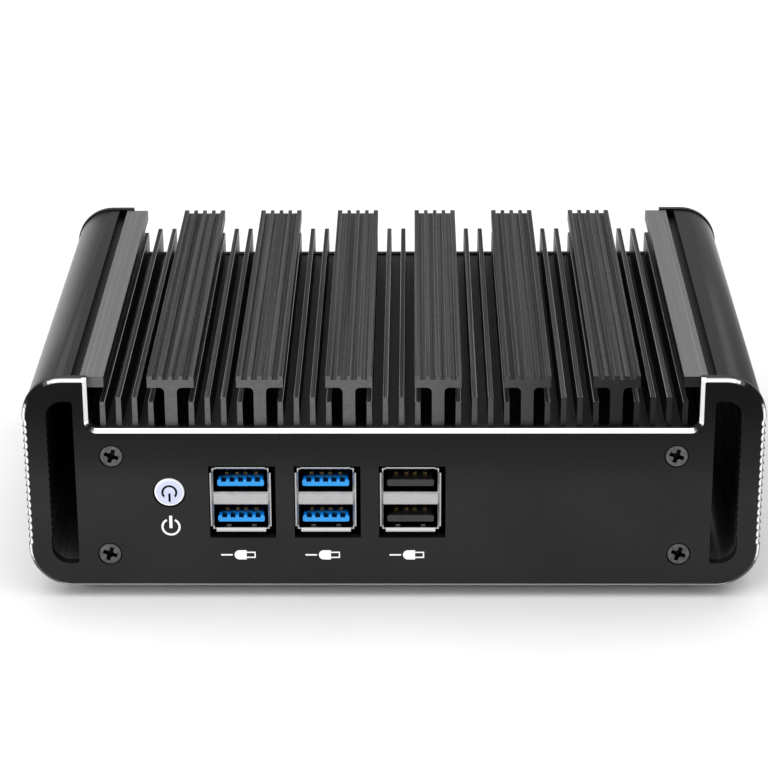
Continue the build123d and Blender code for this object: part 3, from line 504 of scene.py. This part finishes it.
def gold_plate():
    dark, light = rgb(0.8, 0.55, 0.18), rgb(0.92, 0.68, 0.26)
    return varied("gold_plate", dark, light, (0.2, 0.32), 1400, metallic=1.0).material


def lit_button():
    """White button that glows faintly, with a bright ring round its edge and painted shade in the gap behind
    its face.
    """
    graph = varied("lit_button", rgb(0.47, 0.5, 0.64), rgb(0.51, 0.54, 0.68), (0.28, 0.36), 900)
    x, y, z = graph.place()
    sideways = graph.math("SUBTRACT", x, button_centre.x)
    upwards = graph.math("SUBTRACT", z, button_centre.z)
    square = graph.math("ADD", graph.product(sideways, sideways), graph.product(upwards, upwards))
    edge_ring = graph.ramp(graph.math("SQRT", square), BUTTON_RING_RADIUS)
    # Painted shade: the gap behind the face is painted near-black, with no glow.
    painted_deep_shade = graph.spread(y, *(front_y + depth * MM for depth in BUTTON_SHADE_DEPTH))
    face = graph.blend(edge_ring, graph.base_colour(), rgb(0.85))
    graph.shader_values(
        Base_Color=graph.blend(painted_deep_shade, face, rgb(0.004)),
        Emission_Color=rgb(0.86, 0.84, 1.0),
        Emission_Strength=graph.mix(painted_deep_shade, 0.12, 0.0),
    )
    return graph.material


def brighter(colour, gain):
    return tuple(min(1.0, channel * gain) for channel in colour)


def printed_mark(name, ink):
    return varied(name, ink, brighter(ink, 1.12), (0.4, 0.55), 2600).material


def dull_ink():
    graph = varied("symbol_ink", rgb(0.004, 0.005, 0.012), rgb(0.007, 0.009, 0.02), (0.8, 0.9), 2600)
    graph.shader_values(Specular_IOR_Level=0.05)
    return graph.material


def lens(name, tint, glow):
    graph = varied(name, tint, brighter(tint, 1.2), (0.15, 0.25), 1200)
    graph.shader_values(Emission_Color=tint, Emission_Strength=glow)
    return graph.material


finishes = {
    "anodised_black": anodised_extrusion(),
    "panel_black": panel_plate(),
    "cover_black": powder_coat(),
    "rubber_black": moulded_rubber(),
    "screw_black": blackened_screw("blackened_screw"),
    "plated_steel": plated_steel(),
    "circuit_board": circuit_board(),
    "die_silicon": polished_silicon(),
    "brass_metal": turned_brass(),
    "copper_metal": milled_copper(),
    "chip_black": chip_moulding(),
    "capacitor_can": aluminium_can(),
    "plastic_black": black_plastic(),
    "plastic_blue": blue_plastic(),
    "gold_contact": gold_plate(),
    "button_white": lit_button(),
    "symbol_dark": dull_ink(),
    "led_white": lens("clear_lens", rgb(0.8, 0.8, 0.88), 0.4),
    "led_green": lens("green_lens", rgb(0.05, 0.4, 0.08), 0.05),
    "led_amber": lens("amber_lens", rgb(0.7, 0.35, 0.03), 0.05),
}
white_ink = printed_mark("white_ink", rgb(0.85, 0.85, 0.85))


# ---------------------------------------------------------------- CAD nodes


slot_of = {part["node"]: part["material_slot"] for part in frame["record"]["subparts"]}


def break_edges(piece, width):
    """Cuts a narrow flat along every sharp edge, so that the edges catch the light."""
    weld = piece.modifiers.new("weld", "WELD")
    weld.merge_threshold = 0.002 * MM
    bevel = piece.modifiers.new("round_edges", "BEVEL")
    bevel.width = width
    bevel.segments = 1
    bevel.limit_method = "ANGLE"
    bevel.angle_limit = math.radians(38)
    bevel.harden_normals = True


front_sockets = ("usb3_left", "usb3_right", "usb2")
rear_sockets = ("lan_1", "lan_2", "lan_3", "lan_4", "hdmi", "displayport")
panel_screws = ("front_panel_screws", "rear_panel_screws")
own_finishes = dict.fromkeys(panel_screws, blackened_screw("sunk_screw", recess_depth=0.3))
# Painted shade: the front sockets take a darker copy of the same plated steel.
painted_shade_front_steel = socket_steel("front_socket_steel", 0.43, shade_depths=(0.7, 1.3))
rear_steel = socket_steel("rear_socket_steel", 0.55, shade_depths=(0.3, 1.6))
own_finishes.update(dict.fromkeys([f"{port}_shell" for port in front_sockets], painted_shade_front_steel))
own_finishes.update(dict.fromkeys([f"{port}_shell" for port in rear_sockets], rear_steel))

break_edges(nodes["heatsink_housing"], 0.13 * MM)

for name, piece in nodes.items():
    piece.data.materials.clear()
    piece.data.materials.append(own_finishes.get(name, finishes[slot_of[name]]))


# ---------------------------------------------------------------- printed marks


INK_THICKNESS = 0.02 * MM
INK_GAP = 0.001 * MM


def flat_mark(name, outlines, centre):
    """Thin raised print on the front panel, from outlines in millimetres round the centre."""
    mesh = bpy.data.meshes.new(name)
    shape = bmesh.new()
    for outline in outlines:
        rings = []
        for y in (front_y - INK_THICKNESS, front_y - INK_GAP):
            rings.append([shape.verts.new((centre.x + x * MM, y, centre.z + z * MM)) for x, z in outline])
        shape.faces.new(rings[0])
        for i in range(len(outline)):
            j = (i + 1) % len(outline)
            shape.faces.new((rings[0][i], rings[1][i], rings[1][j], rings[0][j]))
        shape.faces.new(list(reversed(rings[1])))
    bmesh.ops.recalc_face_normals(shape, faces=shape.faces)
    shape.to_mesh(mesh)
    shape.free()
    piece = bpy.data.objects.new(name, mesh)
    bpy.context.scene.collection.objects.link(piece)
    mesh.materials.append(white_ink)
    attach(piece, "body")


def arc_band(radius, width, start, end, steps=40):
    """Outline of a ring segment from start to end degrees, counted from +X towards +Z."""
    turns = [math.radians(start + (end - start) * i / steps) for i in range(steps + 1)]
    outer = [(radius * math.cos(t), radius * math.sin(t)) for t in turns]
    inner = [((radius - width) * math.cos(t), (radius - width) * math.sin(t)) for t in reversed(turns)]
    return outer + inner


def bar(x0, z0, x1, z1):
    return [(x0, z0), (x1, z0), (x1, z1), (x0, z1)]


def power_icon():
    """An open ring with a stroke through its gap, printed below the button."""
    radius, line, gap_half_angle = 2.33, 0.52, 28
    stroke_half_width, stroke_bottom, stroke_top = 0.37, -0.35, 2.95
    right_of_button, below_button = 0.1, 9.15
    centre = button_centre + Vector((right_of_button * MM, 0, -below_button * MM))
    ring = arc_band(radius, line, 90 + gap_half_angle, 450 - gap_half_angle)
    stroke = bar(-stroke_half_width, stroke_bottom, stroke_half_width, stroke_top)
    flat_mark("power_icon", [ring, stroke], centre)


def plug_icon(port):
    """A plain plug: a cord, a grip with a round back, and a hollow tip drawn in outline."""
    cord_start, cord_end, cord_half_height = -4.5, -1.7, 0.2
    grip_half_height, grip_front = 1.25, 1.7
    tip_front, tip_outer, tip_inner, tip_end = 3.9, 0.85, 0.5, 3.6
    outlines = [
        bar(cord_start, -cord_half_height, cord_end, cord_half_height),
        arc_band(grip_half_height, grip_half_height, 90, 270),
        bar(0.0, -grip_half_height, grip_front, grip_half_height),
        bar(grip_front, tip_inner, tip_front, tip_outer),
        bar(grip_front, -tip_outer, tip_front, -tip_inner),
        bar(tip_end, -tip_inner, tip_front, tip_inner),
    ]
    left_of_socket, above_panel_foot = 0.6, 8.7
    low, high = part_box(f"{port}_shell")
    socket_x = (low[0] + high[0]) / 2
    centre = Vector((socket_x - left_of_socket * MM, 0, panel_low[2] + above_panel_foot * MM))
    flat_mark(f"{port}_icon", outlines, centre)


power_icon()
for port in front_sockets:
    plug_icon(port)


# ---------------------------------------------------------------- floor, lights and camera


def studio_floor(reach):
    mesh = bpy.data.meshes.new("floor")
    corners = [(-reach, -reach, 0), (reach, -reach, 0), (reach, reach, 0), (-reach, reach, 0)]
    mesh.from_pydata(corners, [], [(0, 1, 2, 3)])
    floor = bpy.data.objects.new("floor", mesh)
    bpy.context.scene.collection.objects.link(floor)
    graph = varied("floor_paper", rgb(0.9), rgb(0.92), (0.85, 0.95), 20)
    mesh.materials.append(graph.material)


def soft_light(name, place, target, side, power):
    """A square lamp at a place, facing a target; lengths in metres and power in watts."""
    lamp = bpy.data.lights.new(name, "AREA")
    lamp.shape = "RECTANGLE"
    lamp.size = side
    lamp.size_y = side
    lamp.energy = power
    piece = bpy.data.objects.new(name, lamp)
    piece.location = place
    piece.rotation_euler = (Vector(target) - Vector(place)).to_track_quat("-Z", "Y").to_euler()
    bpy.context.scene.collection.objects.link(piece)


def studio_world(brightness):
    world = bpy.data.worlds.new("studio")
    world.use_nodes = True
    background = world.node_tree.nodes["Background"]
    background.inputs["Color"].default_value = rgb(1.0)
    background.inputs["Strength"].default_value = brightness
    bpy.context.scene.world = world


def photo_camera(place, yaw, pitch, roll, focal_length):
    """Camera turned right of +Y by yaw, down from the horizon by pitch and leaning by roll, in radians."""
    forward = Vector((math.sin(yaw) * math.cos(pitch), math.cos(yaw) * math.cos(pitch), -math.sin(pitch)))
    right = Vector((math.cos(yaw), -math.sin(yaw), 0))
    upward = right.cross(forward)
    tilt_right = math.cos(roll) * right + math.sin(roll) * upward
    tilt_up = -math.sin(roll) * right + math.cos(roll) * upward
    turn = Matrix((tilt_right, tilt_up, -forward)).transposed().to_4x4()
    data = bpy.data.cameras.new("camera")
    data.lens = focal_length
    data.sensor_width = 36
    data.clip_start = 0.01
    data.clip_end = 20
    camera = bpy.data.objects.new("camera", data)
    camera.matrix_world = Matrix.Translation(place) @ turn
    bpy.context.scene.collection.objects.link(camera)
    bpy.context.scene.camera = camera


bpy.context.scene.view_settings.view_transform = "Standard"
studio_floor(reach=3)
studio_world(brightness=0.35)
soft_light("overhead", place=(0, 0.2, 2.0), target=(0, 0.2, 0), side=4.0, power=75)
soft_light("left_front", place=(-0.75, -0.75, 0.32), target=(0, 0, 0.03), side=0.5, power=6)
photo_camera(
    place=Vector((4.83 * MM, front_y - 608.4 * MM, panel_low[2] + 306.5 * MM)),
    yaw=-0.0116,
    pitch=0.3937,
    roll=-0.0048,
    focal_length=130.1,
)
